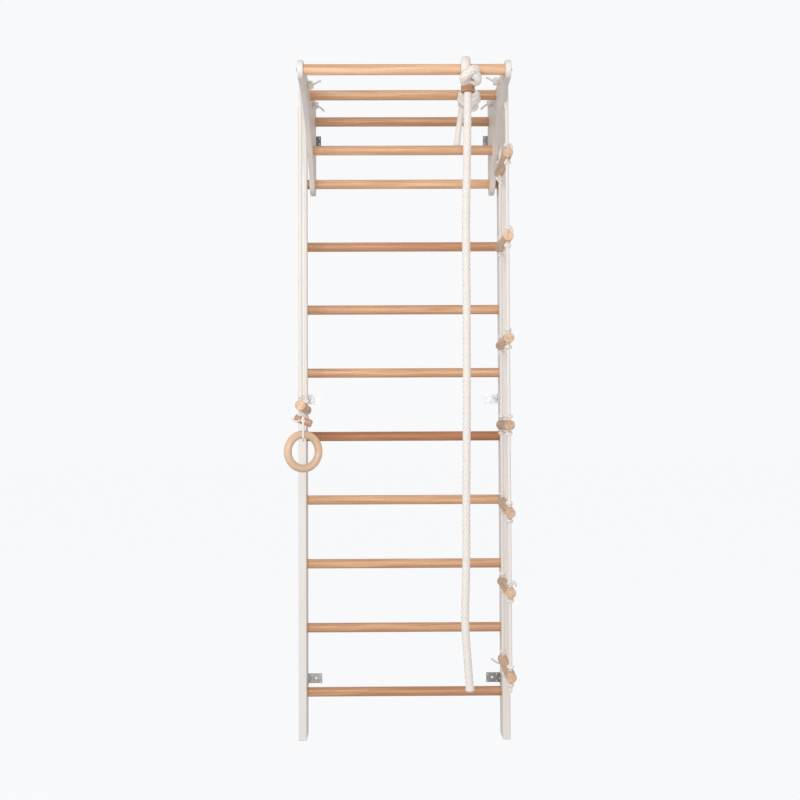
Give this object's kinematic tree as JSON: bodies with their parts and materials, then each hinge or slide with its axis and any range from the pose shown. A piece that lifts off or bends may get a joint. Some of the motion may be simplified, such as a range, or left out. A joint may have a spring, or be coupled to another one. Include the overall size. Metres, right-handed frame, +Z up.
{
  "type": "wall bars with pull-up frame and climbing accessories",
  "caption": "Wall-mounted ladder of round wooden rungs with an overhead pull-up frame, climbing rope, rope ladder, trapeze bar and gymnastic ring.",
  "frame": {"origin": "on the wall plane at the floor, midway between the two posts", "axes": "+Z up, +Y into the wall, +X to the right seen from the room"},
  "size_m": [0.6848, 0.6643, 2.05],
  "materials": {
    "white_lacquer": "white satin lacquer",
    "beech": "satin clear lacquer",
    "dark_beech": "satin clear lacquer",
    "zinc": "zinc plated",
    "cotton_rope": "braided cord",
    "leather": "worn leather"
  },
  "bodies": {
    "frame": {"front_bar": "beech", "front_bar_screw_left": "zinc", "front_bar_screw_right": "zinc", "ladder_knot_front": "cotton_rope", "ladder_knot_rear": "cotton_rope", "left_bracket_high": "zinc", "left_bracket_low": "zinc", "left_bracket_middle": "zinc", "left_bracket_screw_high": "zinc", "left_bracket_screw_low": "zinc", "left_bracket_screw_middle": "zinc", "left_panel": "white_lacquer", "left_post": "white_lacquer", "middle_bar": "beech", "middle_bar_screw_left": "zinc", "middle_bar_screw_right": "zinc", "rear_bar": "beech", "rear_bar_screw_left": "zinc", "rear_bar_screw_right": "zinc", "right_bracket_high": "zinc", "right_bracket_low": "zinc", "right_bracket_middle": "zinc", "right_bracket_screw_high": "zinc", "right_bracket_screw_low": "zinc", "right_bracket_screw_middle": "zinc", "right_panel": "white_lacquer", "right_post": "white_lacquer", "rope_hitch": "cotton_rope", "rope_hitch_tail": "cotton_rope", "rung_01": "beech", "rung_02": "beech", "rung_03": "beech", "rung_04": "beech", "rung_05": "beech", "rung_06": "beech", "rung_07": "beech", "rung_08": "beech", "rung_09": "beech", "rung_10": "beech", "trapeze_knot_front": "cotton_rope", "trapeze_knot_rear": "cotton_rope"},
    "climbing_rope": {"climbing_rope": "cotton_rope", "climbing_rope_knot": "cotton_rope", "climbing_rope_collar": "leather"},
    "rope_ladder": {"ladder_cord_front": "cotton_rope", "ladder_cord_rear": "cotton_rope", "ladder_rung_1": "dark_beech", "ladder_rung_2": "dark_beech", "ladder_rung_3": "dark_beech", "ladder_rung_4": "dark_beech", "ladder_rung_5": "dark_beech", "ladder_rung_6": "dark_beech", "ladder_rung_7": "dark_beech"},
    "trapeze": {"trapeze_bar": "beech", "trapeze_cord_front": "cotton_rope", "trapeze_cord_rear": "cotton_rope"},
    "ring": {"ring": "beech", "ring_cord": "cotton_rope", "ring_toggle": "dark_beech"}
  },
  "joints": [
    {"name": "climbing_rope_swing", "type": "hinge", "parent": "frame", "child": "climbing_rope", "pos_m": [0.172, -0.627, 1.988], "axis": [1, 0, 0], "range_deg": [-45, 12]},
    {"name": "rope_ladder_swing", "type": "hinge", "parent": "frame", "child": "rope_ladder", "pos_m": [0.3025, -0.328, 1.994], "axis": [0, -1, 0], "range_deg": [0, 50]},
    {"name": "trapeze_swing", "type": "hinge", "parent": "frame", "child": "trapeze", "pos_m": [-0.3025, -0.328, 1.994], "axis": [0, 1, 0], "range_deg": [0, 55]},
    {"name": "ring_swing", "type": "hinge", "parent": "trapeze", "child": "ring", "pos_m": [-0.3025, -0.445, 1.0315], "axis": [1, 0, 0], "range_deg": [-60, 60]}
  ]
}
